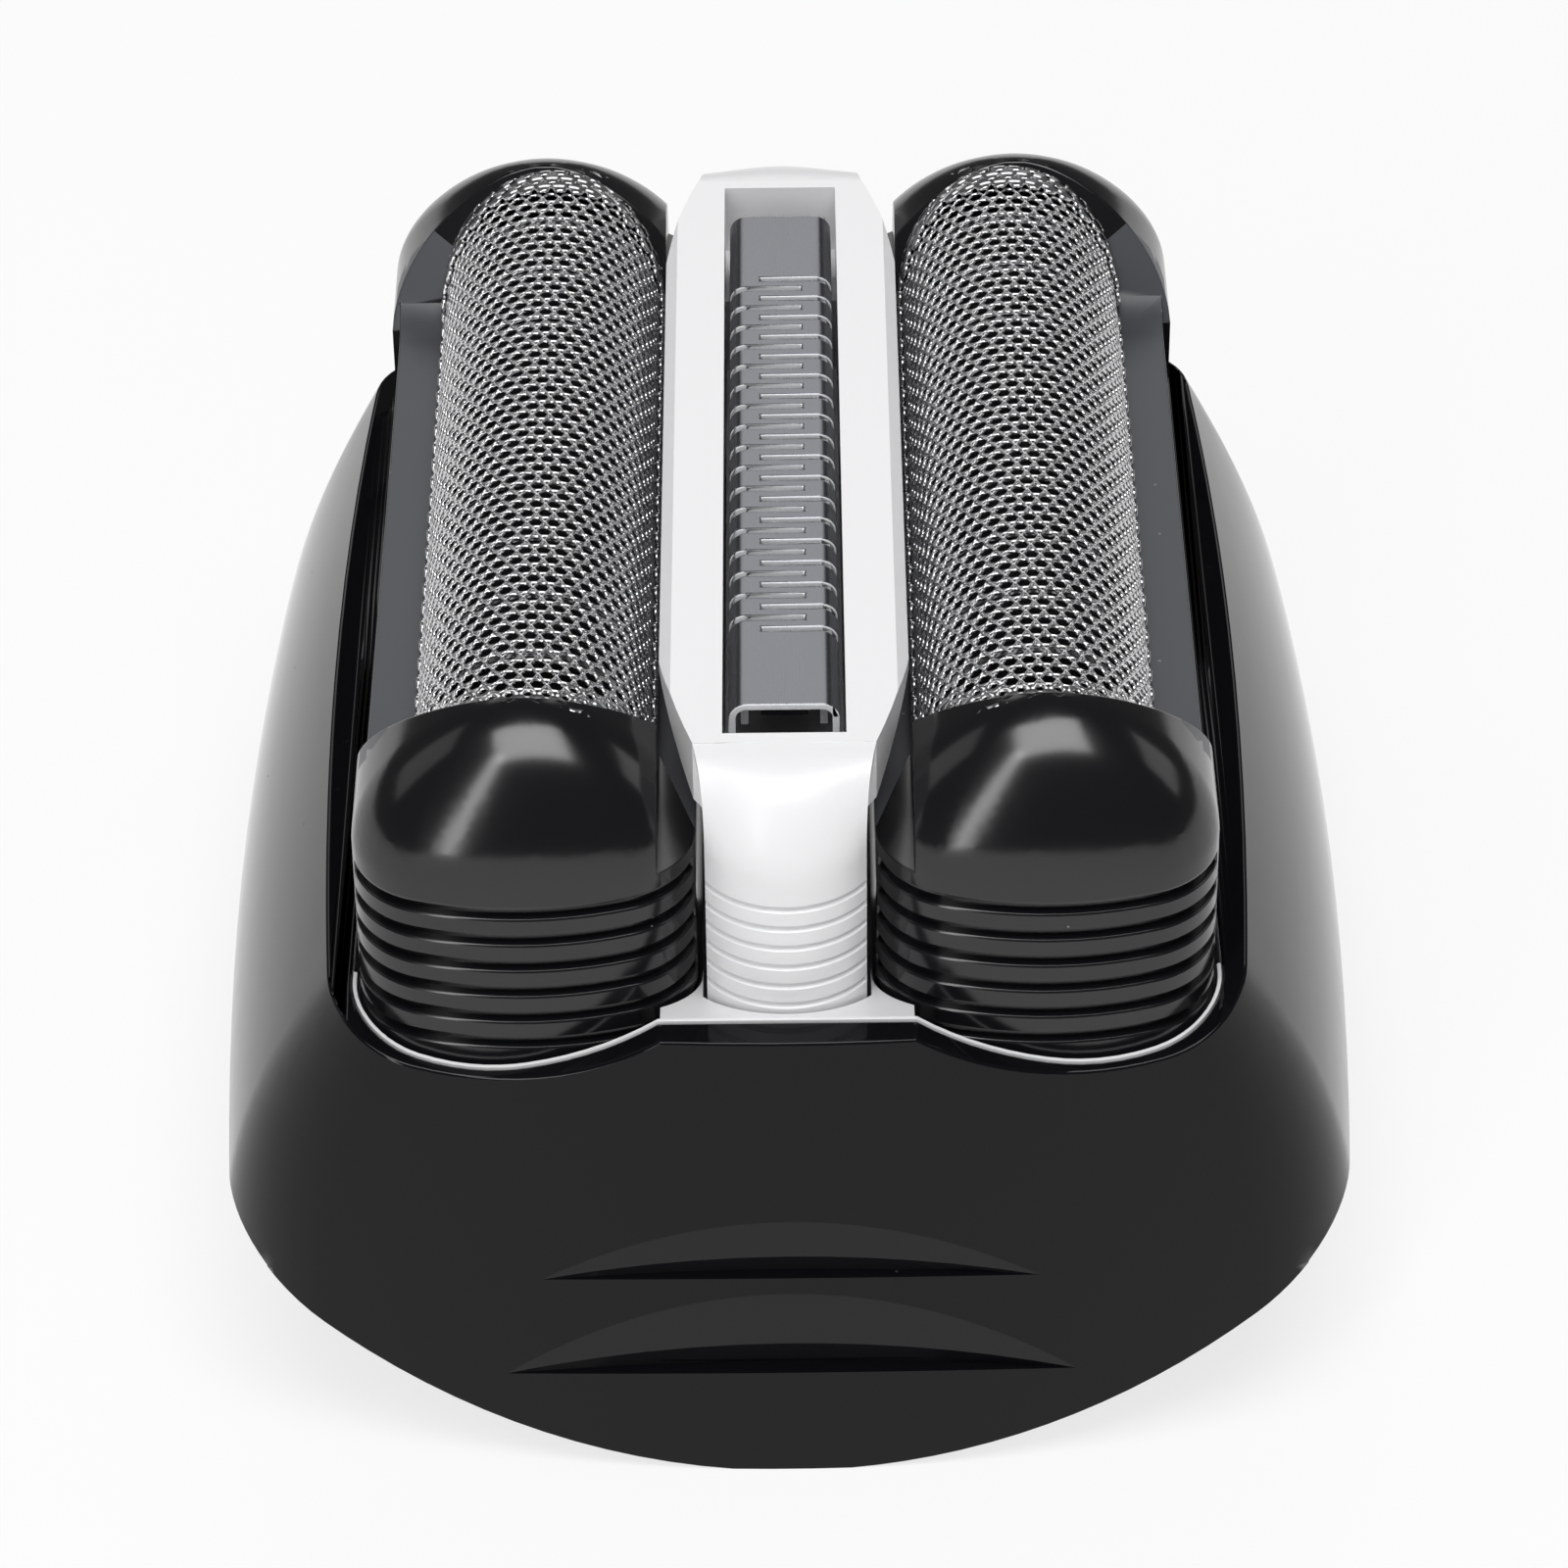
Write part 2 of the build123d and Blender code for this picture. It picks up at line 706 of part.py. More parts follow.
def channel(half, top, sheet, depth, length, bend):
    """Sheet bent to an upside-down channel along Y with rounded bends."""
    long = length / 2
    outer = block(-half, half, -long, long, top - depth, top)
    outer = fillet(outer.edges().filter_by(Axis.Y).group_by(Axis.Z)[-1], bend)
    inner = block(sheet - half, half - sheet, -big, big, -big, top - sheet)
    return outer - fillet(inner.edges().filter_by(Axis.Y).group_by(Axis.Z)[-1], bend - sheet)


def make_trimmer_comb():
    """Steel channel slotted in turn from the left and the right, so that its teeth form a serpentine."""
    body = channel(comb_half, comb_top, comb_sheet, comb_depth, 2 * comb_end, comb_round)
    low = comb_top - comb_wall_slit
    stop, bend, mouth = comb_bridge - comb_half, comb_half - comb_round, 2 * comb_half
    narrow, wide = comb_slot / 2, comb_mouth / 2
    outline = [(stop, -narrow), (bend, -narrow), (comb_half, -wide), (mouth, -wide)]
    outline += [(x, -y) for x, y in reversed(outline)]
    slot = upright(make_face(Polyline(*outline, close=True)), low, big)
    for number in range(comb_slots):
        y = (number - (comb_slots - 1) / 2) * comb_pitch
        body -= Pos(0, y, 0) * Rot(0, 0, 180 * (number % 2)) * slot
    return body


def make_trimmer_blade():
    """Moving channel under the comb with slits across its top."""
    body = channel(blade_half, blade_top, comb_sheet, blade_depth, blade_length, comb_sheet + blade_gap)
    half = blade_slit / 2
    inner = blade_half - comb_sheet
    for number in range(blade_teeth):
        y = (number - (blade_teeth - 1) / 2) * blade_pitch
        body -= block(-inner, inner, y - half, y + half, blade_top - comb_sheet, big)
    return body


def make_trimmer_driver():
    """Slide that carries the moving trimmer blade, with a post and socket for the drive."""
    flange_low = floor_top + guide_gap
    web_top = blade_top - comb_sheet
    web_low = web_top - driver_web_depth
    x, y = slot_half - driver_play, driver_length / 2
    body = block(-x, x, -y, y, flange_low, flange_low + driver_flange)
    x = driver_web / 2
    body += block(-x, x, -y, y, flange_low, web_top)
    body += block(-x, x, -driver_web_length / 2, driver_web_length / 2, web_low, web_top)
    x, y = driver_post_width / 2, driver_post_length / 2
    low = floor_top - driver_post
    body += block(-x, x, -y, y, low, flange_low)
    return body - upright(Circle(driver_bore / 2), low - 1, low + driver_bore_depth)


# Springs
def make_leaf_spring(span, top):
    """Bowed strip that stands on the carrier plate under a seat."""
    half = span / 2
    crown = top - spring_sheet
    outer = ThreePointArc((-half, plate_top), (0, top), (half, plate_top))
    inner = ThreePointArc((half - spring_sheet, plate_top), (0, crown), (spring_sheet - half, plate_top))
    feet = [
        Line((half, plate_top), (half - spring_sheet, plate_top)),
        Line((spring_sheet - half, plate_top), (-half, plate_top)),
    ]
    face = make_face([outer, feet[0], inner, feet[1]])
    return extrude(Plane.XZ * face, spring_width / 2, both=True)


def main():
    """Build every piece, place it and write its file."""
    nodes = {
        "housing": make_housing(),
        "carrier_frame": make_carrier_frame(),
        "trimmer_frame": make_trimmer_frame(),
        "trimmer_comb": make_trimmer_comb(),
        "trimmer_blade": make_trimmer_blade(),
        "trimmer_driver": make_trimmer_driver(),
    }
    sided = {
        "foil_frame": make_foil_frame(),
        "foil": make_foil(),
        "cutter_carrier": make_cutter_carrier(),
        "cutter_blades": make_cutter_blades(),
        "drive_shoe": make_drive_shoe(),
    }
    for name, shape in sided.items():
        right = Pos(foil_x, 0, 0) * shape
        nodes["right_" + name] = right
        nodes["left_" + name] = mirror(right, about=Plane.YZ)
    seat_y = cap_front - frame_wall - seat_width / 2
    stem_y = stem_front - stem_depth / 2
    foil_spring = make_leaf_spring(spring_span, frame_bottom)
    stem_spring = make_leaf_spring(stem_spring_span, stem_bottom)
    for end, sign in (("near", -1), ("far", 1)):
        nodes["left_spring_" + end] = Pos(-frame_x, sign * seat_y, 0) * foil_spring
        nodes["right_spring_" + end] = Pos(frame_x, sign * seat_y, 0) * foil_spring
        nodes["trimmer_spring_" + end] = Pos(0, sign * stem_y, 0) * stem_spring
    os.makedirs("parts", exist_ok=True)
    for name, shape in nodes.items():
        export_step(shape, "parts/" + name + ".step")


main()
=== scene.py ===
"""Looks of a shaver's foil head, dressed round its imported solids.

Lengths are metres in the part's own frame: X across the foils, Y along them, Z up.
"""

import json
import logging
import math
from dataclasses import dataclass
from enum import Enum
from typing import Callable, ClassVar, Optional

import bmesh
import bpy
from mathutils import Matrix, Vector


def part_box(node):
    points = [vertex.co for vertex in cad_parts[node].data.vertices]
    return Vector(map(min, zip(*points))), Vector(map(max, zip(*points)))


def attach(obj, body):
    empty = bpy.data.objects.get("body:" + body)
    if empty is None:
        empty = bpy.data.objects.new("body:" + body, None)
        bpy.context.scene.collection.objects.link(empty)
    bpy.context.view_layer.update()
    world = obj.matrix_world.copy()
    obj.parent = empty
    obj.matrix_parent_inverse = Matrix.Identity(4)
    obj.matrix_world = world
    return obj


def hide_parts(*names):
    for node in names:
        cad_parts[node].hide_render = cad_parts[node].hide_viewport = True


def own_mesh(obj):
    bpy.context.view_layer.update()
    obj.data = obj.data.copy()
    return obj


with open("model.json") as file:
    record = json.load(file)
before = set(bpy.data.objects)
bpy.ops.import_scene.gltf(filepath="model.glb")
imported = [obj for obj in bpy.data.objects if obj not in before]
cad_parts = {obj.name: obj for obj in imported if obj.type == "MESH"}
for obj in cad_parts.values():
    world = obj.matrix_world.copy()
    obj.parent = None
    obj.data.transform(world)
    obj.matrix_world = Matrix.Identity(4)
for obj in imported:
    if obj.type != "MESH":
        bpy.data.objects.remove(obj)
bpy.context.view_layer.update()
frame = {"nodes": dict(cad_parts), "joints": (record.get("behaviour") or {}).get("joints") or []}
MM = 0.001
MERGE = 0.002 * MM
CELL_SIDES = 6
SPECK_SIZE = 0.16
log = logging.getLogger("foil_head")

Colour = tuple[float, float, float]


class Body(Enum):
    """Rigid bodies of the head."""

    HOUSING = "housing_body"
    LEFT_FOIL = "left_foil_unit"
    RIGHT_FOIL = "right_foil_unit"
    TRIMMER = "trimmer_unit"


class Slot(Enum):
    """Material slots of the record."""

    HOUSING = "housing_black"
    FRAME = "frame_black"
    WHITE = "white_plastic"
    FOIL = "foil_steel"
    COMB = "comb_steel"
    SPRING = "spring_steel"


# Shader groups
def new_group(name: str, inputs: dict[str, float], outputs: dict[str, str]) -> bpy.types.NodeTree:
    """Start a shader group with number inputs.

    Args:
        name: Name of the group.
        inputs: Default of each number input.
        outputs: Socket type of each output.

    Returns:
        The group, holding only its input and output nodes.
    """
    group = bpy.data.node_groups.new(name, "ShaderNodeTree")
    for label, value in inputs.items():
        socket = group.interface.new_socket(label, in_out="INPUT", socket_type="NodeSocketFloat")
        socket.default_value = value
    for label, kind in outputs.items():
        group.interface.new_socket(label, in_out="OUTPUT", socket_type=kind)
    group.nodes.new("NodeGroupInput").name = "In"
    group.nodes.new("NodeGroupOutput").name = "Out"
    return group


def add(tree: bpy.types.NodeTree, kind: str, **settings: object) -> bpy.types.Node:
    """Add one node and set its properties.

    Args:
        tree: Tree that takes the node.
        kind: Type name of the node.
        settings: Properties of the node by name.

    Returns:
        The new node.
    """
    node = tree.nodes.new(kind)
    for name, value in settings.items():
        setattr(node, name, value)
    return node


def moulding_group() -> bpy.types.NodeTree:
    """Faint waviness of a moulded surface and the dust that lies on it.

    Returns:
        A group with a bump height and a mask of dust specks.
    """
    group = new_group(
        "moulding",
        {"Wave Scale": 300.0, "Dust Scale": 900.0, "Dust": 0.1},
        {"Height": "NodeSocketFloat", "Specks": "NodeSocketFloat"},
    )
    place = add(group, "ShaderNodeTexCoord")
    wave = add(group, "ShaderNodeTexNoise")
    wave.inputs["Detail"].default_value = 2.0
    cells = add(group, "ShaderNodeTexVoronoi")
    near = add(group, "ShaderNodeMath", operation="LESS_THAN")
    chosen = add(group, "ShaderNodeSeparateColor")
    some = add(group, "ShaderNodeMath", operation="LESS_THAN")
    both = add(group, "ShaderNodeMath", operation="MULTIPLY")
    near.inputs[1].default_value = SPECK_SIZE
    source, target = group.nodes["In"], group.nodes["Out"]
    link = group.links.new
    link(place.outputs["Object"], wave.inputs["Vector"])
    link(place.outputs["Object"], cells.inputs["Vector"])
    link(source.outputs["Wave Scale"], wave.inputs["Scale"])
    link(source.outputs["Dust Scale"], cells.inputs["Scale"])
    link(cells.outputs["Distance"], near.inputs[0])
    link(cells.outputs["Color"], chosen.inputs["Color"])
    link(chosen.outputs["Red"], some.inputs[0])
    link(source.outputs["Dust"], some.inputs[1])
    link(near.outputs[0], both.inputs[0])
    link(some.outputs[0], both.inputs[1])
    link(wave.outputs[0], target.inputs["Height"])
    link(both.outputs[0], target.inputs["Specks"])
    return group


def rolling_group() -> bpy.types.NodeTree:
    """Fine lines that rolling leaves along a strip of steel.

    Returns:
        A group with a line value from 0 to 1.
    """
    group = new_group("rolling", {"Across": 9000.0, "Along": 250.0}, {"Lines": "NodeSocketFloat"})
    place = add(group, "ShaderNodeTexCoord")
    spread = add(group, "ShaderNodeCombineXYZ")
    stretch = add(group, "ShaderNodeVectorMath", operation="MULTIPLY")
    noise = add(group, "ShaderNodeTexNoise")
    noise.inputs["Scale"].default_value = 1.0
    noise.inputs["Detail"].default_value = 3.0
    source, target = group.nodes["In"], group.nodes["Out"]
    link = group.links.new
    link(source.outputs["Across"], spread.inputs["X"])
    link(source.outputs["Along"], spread.inputs["Y"])
    link(source.outputs["Across"], spread.inputs["Z"])
    link(place.outputs["Object"], stretch.inputs[0])
    link(spread.outputs[0], stretch.inputs[1])
    link(stretch.outputs[0], noise.inputs["Vector"])
    link(noise.outputs[0], target.inputs["Lines"])
    return group


class Groups:
    """Shader groups, each built once."""

    made: ClassVar[dict[str, bpy.types.NodeTree]] = {}

    @classmethod
    def place(
        cls, tree: bpy.types.NodeTree, build: Callable[[], bpy.types.NodeTree], **values: float
    ) -> bpy.types.Node:
        """Put a group into a material.

        Args:
            tree: Node tree of the material.
            build: Function that makes the group the first time.
            values: Input values, with spaces in their names written as underscores.

        Returns:
            The group node.
        """
        if build.__name__ not in cls.made:
            cls.made[build.__name__] = build()
        node = add(tree, "ShaderNodeGroup", node_tree=cls.made[build.__name__])
        for name, value in values.items():
            node.inputs[name.replace("_", " ")].default_value = value
        return node


# Finishes
def start_material(name: str) -> tuple[bpy.types.Material, bpy.types.NodeTree, bpy.types.Node]:
    """Make a material with its principled shader.

    Args:
        name: Name of the material.

    Returns:
        The material, its node tree and the shader node.
    """
    material = bpy.data.materials.new(name)
    material.use_nodes = True
    tree = material.node_tree
    return material, tree, tree.nodes["Principled BSDF"]


@dataclass(frozen=True)
class Plastic:
    """A moulded plastic with faint waviness and a little dust."""

    name: str
    colour: Colour
    roughness: float
    specular: float
    dust: float = 0.02
    dust_scale: float = 2500.0
    dust_colour: Colour = (0.2, 0.2, 0.21)
    dust_roughness: float = 0.4
    wave_scale: float = 260.0
    wave: float = 0.02
    wave_depth: float = 0.02 * MM

    def build(self) -> bpy.types.Material:
        """Make the material.

        Returns:
            The new material.
        """
        material, tree, shader = start_material(self.name)
        shader.inputs["Specular IOR Level"].default_value = self.specular
        surface = Groups.place(
            tree, moulding_group, Wave_Scale=self.wave_scale, Dust_Scale=self.dust_scale, Dust=self.dust
        )
        tint = add(tree, "ShaderNodeMix", data_type="RGBA")
        tint.inputs["A"].default_value = (*self.colour, 1.0)
        tint.inputs["B"].default_value = (*self.dust_colour, 1.0)
        rough = add(tree, "ShaderNodeMapRange")
        rough.inputs["To Min"].default_value = self.roughness
        rough.inputs["To Max"].default_value = min(1.0, self.roughness + self.dust_roughness)
        bump = add(tree, "ShaderNodeBump")
        bump.inputs["Strength"].default_value = self.wave
        bump.inputs["Distance"].default_value = self.wave_depth
        link = tree.links.new
        link(surface.outputs["Specks"], tint.inputs["Factor"])
        link(tint.outputs["Result"], shader.inputs["Base Color"])
        link(surface.outputs["Specks"], rough.inputs["Value"])
        link(rough.outputs["Result"], shader.inputs["Roughness"])
        link(surface.outputs["Height"], bump.inputs["Height"])
        link(bump.outputs["Normal"], shader.inputs["Normal"])
        return material


@dataclass(frozen=True)
class Steel:
    """Bright steel with rolling lines."""

    name: str
    colour: Colour
    roughness: float
    spread: float = 0.08
    metallic: float = 1.0
    dark_line: float = 0.9
    light_line: float = 1.08
    across: float = 9000.0
    along: float = 250.0

    def build(self) -> bpy.types.Material:
        """Make the material.

        Returns:
            The new material.
        """
        material, tree, shader = start_material(self.name)
        shader.inputs["Metallic"].default_value = self.metallic
        lines = Groups.place(tree, rolling_group, Across=self.across, Along=self.along)
        rough = add(tree, "ShaderNodeMapRange")
        rough.inputs["To Min"].default_value = self.roughness - self.spread
        rough.inputs["To Max"].default_value = self.roughness + self.spread
        tint = add(tree, "ShaderNodeMix", data_type="RGBA")
        tint.inputs["A"].default_value = (*(self.dark_line * part for part in self.colour), 1.0)
        tint.inputs["B"].default_value = (*(min(1.0, self.light_line * part) for part in self.colour), 1.0)
        link = tree.links.new
        link(lines.outputs["Lines"], rough.inputs["Value"])
        link(rough.outputs["Result"], shader.inputs["Roughness"])
        link(lines.outputs["Lines"], tint.inputs["Factor"])
        link(tint.outputs["Result"], shader.inputs["Base Color"])
        return material


HOUSING_BLACK = Plastic(
    "housing_black", (0.0045, 0.0045, 0.0055), 0.04, 0.18, dust=0.004, dust_colour=(0.03, 0.03, 0.032)
)
CAP_BLACK = Plastic("cap_black", (0.005, 0.005, 0.006), 0.17, 0.6, dust=0.012)
# Satin rail tops of the black frame: the rougher finish is real, but the base lighter than the caps' black
# is a painted sheen, and on the end ramps it is a painted highlight.
RAIL_SATIN_PAINTED_SHEEN = Plastic("rail_satin_painted_sheen", (0.055, 0.058, 0.066), 0.42, 0.5, dust=0.03)
WHITE = Plastic("white_plastic", (0.83, 0.83, 0.84), 0.3, 0.4, dust=0.0)
SLIDE_GREY = Plastic("slide_grey", (0.1, 0.1, 0.11), 0.5, 0.4)
FOIL_STEEL = Steel("foil_steel", (0.72, 0.72, 0.73), 0.16)
COMB_STEEL = Steel("comb_steel", (0.19, 0.195, 0.21), 0.28, spread=0.04)
# Bare cut steel of the comb's slot walls: its near-white, mostly non-metal colour is a painted highlight
# that the lamps light up.
COMB_CUT_PAINTED_HIGHLIGHT = Steel("comb_cut_painted_highlight", (0.85, 0.86, 0.88), 0.45, metallic=0.2)
BLADE_STEEL = Steel("blade_steel", (0.3, 0.3, 0.31), 0.35)
SPRING_STEEL = Steel("spring_steel", (0.45, 0.45, 0.46), 0.3)


class Wardrobe:
    """Materials, each built once from its finish."""

    made: ClassVar[dict[str, bpy.types.Material]] = {}

    @classmethod
    def get(cls, finish: "Plastic | Steel") -> bpy.types.Material:
        """Return the material of a finish.

        Args:
            finish: The finish to look up or build.

        Returns:
            Its material.
        """
        if finish.name not in cls.made:
            cls.made[finish.name] = finish.build()
        return cls.made[finish.name]


# Pieces
def object_of(name: str, mesh: bmesh.types.BMesh) -> bpy.types.Object:
    """Turn a finished bmesh into an object at the origin.

    Args:
        name: Name of the piece.
        mesh: The geometry, freed here.

    Returns:
        The new object.
    """
    data = bpy.data.meshes.new(name)
    mesh.to_mesh(data)
    mesh.free()
    made = bpy.data.objects.new(name, data)
    bpy.context.scene.collection.objects.link(made)
    return made


def merged_copy(node: str) -> bmesh.types.BMesh:
    """Copy a solid's mesh and join its loose triangles.

    Args:
        node: Name of the solid.

    Returns:
        The joined mesh.
    """
    mesh = bmesh.new()
    mesh.from_mesh(frame["nodes"][node].data)
    bmesh.ops.remove_doubles(mesh, verts=mesh.verts, dist=MERGE)
    return mesh


def repeat(mesh: bmesh.types.BMesh, shifts: list[tuple[float, float, float]]) -> None:
    """Add a shifted copy of all that a mesh holds for each shift.

    Args:
        mesh: The mesh to add to.
        shifts: How far each copy is moved.
    """
    pattern = mesh.verts[:] + mesh.edges[:] + mesh.faces[:]
    for shift in shifts:
        copy = bmesh.ops.duplicate(mesh, geom=pattern)["geom"]
        corners = [item for item in copy if isinstance(item, bmesh.types.BMVert)]
        bmesh.ops.translate(mesh, verts=corners, vec=shift)


@dataclass
class MouldedPiece:
    """A rigid piece with the form of its solid and softly rounded edges."""

    node: str
    body: Body
    slot: Slot
    finishes: tuple["Plastic | Steel", ...]
    edge: float = 0.08 * MM
    clamp: bool = False
    weighting: str = "FACE_AREA"
    crease: float = math.radians(32)
    fine_crease: float = math.radians(9)
    fine: Optional[Callable[[bmesh.types.BMEdge], bool]] = None
    zone: Optional[Callable[[bmesh.types.BMFace], int]] = None
    rounded: Optional[Callable[[bmesh.types.BMEdge], bool]] = None

    def build(self) -> bpy.types.Object:
        """Copy the solid's mesh, merge it, round its edges and dress it.

        Returns:
            The dressed piece.
        """
        mesh = merged_copy(self.node)
        for face in mesh.faces:
            face.material_index = self.zone(face) if self.zone else 0
            face.smooth = True
        weight = mesh.edges.layers.float.new("bevel_weight_edge")
        for edge in mesh.edges:
            turn = edge.calc_face_angle(0.0)
            edge.smooth = turn <= (self.fine_crease if self.fine and self.fine(edge) else self.crease)
            if turn > self.crease and (self.rounded is None or self.rounded(edge)):
                edge[weight] = 1.0
        piece = object_of(self.node + "_looks", mesh)
        for finish in self.finishes:
            piece.data.materials.append(Wardrobe.get(finish))
        bevel = piece.modifiers.new("edges", "BEVEL")
        bevel.width = self.edge
        bevel.segments = 2
        bevel.limit_method = "WEIGHT"
        bevel.use_clamp_overlap = self.clamp
        normals = piece.modifiers.new("normals", "WEIGHTED_NORMAL")
        normals.mode = self.weighting
        normals.keep_sharp = True
        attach(piece, self.body.value)
        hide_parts(self.node)
        return piece


@dataclass
class FoilSheet:
    """A shaving foil: thin steel bent to an arch, with a field of hexagonal holes."""

    node: str
    body: Body
    pitch: float = 0.615 * MM
    web: float = 0.19 * MM
    sheet: float = 0.16 * MM
    edge: float = 0.035 * MM
    window: float = 31.7 * MM
    slant: float = math.radians(33)
    fine_web: float = 0.36 * MM
    near_band: float = 0.75 * MM
    near_margin: float = 0.1 * MM
    far_margin: float = 0.95 * MM
    foot_margin: float = 0.25 * MM
    rail_drop: float = 0.75 * MM

    def __post_init__(self) -> None:
        """Read the arch from the solid's box."""
        low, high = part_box(self.node)
        self.middle = (low.x + high.x) / 2
        self.radius = (high.x - low.x) / 2
        self.arch = high.z - self.radius
        self.foot = low.z
        self.half_length = (high.y - low.y) / 2

    def bend(self, flat: Vector) -> Vector:
        """Wrap a point of the flat sheet round the arch.

        Args:
            flat: Place on the sheet, X from the crown line and Y along it.

        Returns:
            The place on the arch or on one of its legs.
        """
        quarter = self.radius * math.pi / 2
        if abs(flat.x) > quarter:
            side = math.copysign(self.radius, flat.x)
            return Vector((self.middle + side, flat.y, self.arch + quarter - abs(flat.x)))
        angle = flat.x / self.radius
        return Vector(
            (
                self.middle + self.radius * math.sin(angle),
                flat.y,
                self.arch + self.radius * math.cos(angle),
            )
        )

    def web_at(self, flat: Vector) -> float:
        """Tell how wide the webs of a cell are.

        Args:
            flat: Middle of the cell on the flat sheet.

        Returns:
            The web, wider in the band at the near end, or 0 where the cell has no hole.
        """
        height = self.bend(flat).z
        if height < self.arch - self.rail_drop + self.foot_margin:
            return 0.0
        lean = (self.arch + self.radius - height) * math.tan(self.slant)
        room = self.window / 2 - lean - abs(flat.y)
        if room < (self.near_margin if flat.y < 0 else self.far_margin):
            return 0.0
        return self.fine_web if flat.y < 0 and room < self.near_band else self.web

    def net(self) -> bmesh.types.BMesh:
        """Lay out the flat net of hexagonal cells with their holes.

        Returns:
            The flat sheet, trimmed to its size.
        """
        mesh = bmesh.new()
        half = self.radius * math.pi / 2 + self.arch - self.foot
        step = self.pitch * math.sqrt(3) / 2
        columns = math.ceil(half / self.pitch) + 1
        rows = math.ceil(self.half_length / step) + 1
        turn = Matrix.Rotation(math.radians(30), 4, "Z")
        bmesh.ops.create_circle(
            mesh, cap_ends=True, segments=CELL_SIDES, radius=self.pitch / math.sqrt(3), matrix=turn
        )
        bmesh.ops.translate(mesh, verts=mesh.verts, vec=(-columns * self.pitch, -rows * step, 0))
        repeat(mesh, [(column * self.pitch, 0, 0) for column in range(1, 2 * columns + 1)])
        repeat(mesh, [(row % 2 * self.pitch / 2, row * step, 0) for row in range(1, 2 * rows + 1)])
        bmesh.ops.remove_doubles(mesh, verts=mesh.verts, dist=MERGE)
        for web in (self.web, self.fine_web):
            hexagons = [face for face in mesh.faces if len(face.verts) == CELL_SIDES]
            cells = [face for face in hexagons if self.web_at(face.calc_center_median()) == web]
            bmesh.ops.inset_individual(mesh, faces=cells, thickness=web / 2, use_even_offset=True)
            bmesh.ops.delete(mesh, geom=cells, context="FACES_ONLY")
        for axis, limit in (((1, 0, 0), half), ((0, 1, 0), self.half_length)):
            for side in (-1, 1):
                normal = Vector(axis) * side
                bmesh.ops.bisect_plane(
                    mesh,
                    geom=mesh.verts[:] + mesh.edges[:] + mesh.faces[:],
                    plane_co=normal * limit,
                    plane_no=normal,
                    clear_outer=True,
                )
        return mesh

    def build(self) -> bpy.types.Object:
        """Bend the net, give it its thickness and dress it.

        Returns:
            The dressed foil.
        """
        mesh = self.net()
        for vertex in mesh.verts:
            vertex.co = self.bend(vertex.co)
        bmesh.ops.recalc_face_normals(mesh, faces=mesh.faces)
        for face in mesh.faces:
            face.smooth = True
        piece = object_of(self.node + "_looks", mesh)
        piece.data.materials.append(Wardrobe.get(FOIL_STEEL))
        wall = piece.modifiers.new("wall", "SOLIDIFY")
        wall.thickness = self.sheet
        wall.offset = -1.0
        bevel = piece.modifiers.new("edges", "BEVEL")
        bevel.width = self.edge
        bevel.segments = 1
        bevel.limit_method = "ANGLE"
        bevel.angle_limit = math.radians(70)
        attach(piece, self.body.value)
        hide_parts(self.node)
        return piece


@dataclass
class LeafSpring:
    """A bowed leaf spring with a frame above it."""

    node: str
    joint: str
    foot: float
    travel: float

    def build(self) -> bpy.types.Object:
        """Copy the solid's mesh and dress it.

        Returns:
            The dressed spring.
        """
        low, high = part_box(self.node)
        piece = object_of(self.node + "_looks", merged_copy(self.node))
        piece.data.materials.append(Wardrobe.get(SPRING_STEEL))
        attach(piece, Body.HOUSING.value)
        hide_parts(self.node)
        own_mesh(piece)
        return piece


class Inside:
    """The other pieces inside the head, kept as their solids with a finish each."""

    FINISHES: ClassVar[dict[str, "Plastic | Steel"]] = {
        "cutter_carrier": SLIDE_GREY,
        "drive_shoe": SLIDE_GREY,
        "trimmer_driver": SLIDE_GREY,
        "cutter_blades": BLADE_STEEL,
        "trimmer_blade": BLADE_STEEL,
    }

    def dress(self) -> None:
        """Give every inner piece its finish."""
        for node, made in frame["nodes"].items():
            for part, finish in self.FINISHES.items():
                if part in node:
                    made.data.materials.clear()
                    made.data.materials.append(Wardrobe.get(finish))
                    log.info("dressed %s", node)


# Studio
@dataclass
class Softbox:
    """A rectangular lamp that faces a point of the head."""

    name: str
    azimuth: float
    elevation: float
    distance: float
    width: float
    height: float
    radiance: float
    mirrored: bool = True
    target: tuple[float, float, float] = (0.0, 0.0, 0.02)

    def build(self) -> bpy.types.Object:
        """Make the lamp, with its power worked out from its radiance and area.

        Returns:
            The lamp.
        """
        data = bpy.data.lights.new(self.name, "AREA")
        data.shape = "RECTANGLE"
        data.size = self.width
        data.size_y = self.height
        data.energy = self.radiance * math.pi * self.width * self.height
        lamp = bpy.data.objects.new(self.name, data)
        turn, rise = math.radians(self.azimuth), math.radians(self.elevation)
        away = Vector(
            (math.cos(turn) * math.cos(rise), math.sin(turn) * math.cos(rise), math.sin(rise))
        )
        facing = away.to_track_quat("Z", "Y")
        stand = Matrix.Translation(Vector(self.target) + away * self.distance)
        lamp.matrix_world = stand @ facing.to_matrix().to_4x4()
        lamp.visible_camera = False
        lamp.visible_glossy = self.mirrored
        bpy.context.scene.collection.objects.link(lamp)
        return lamp


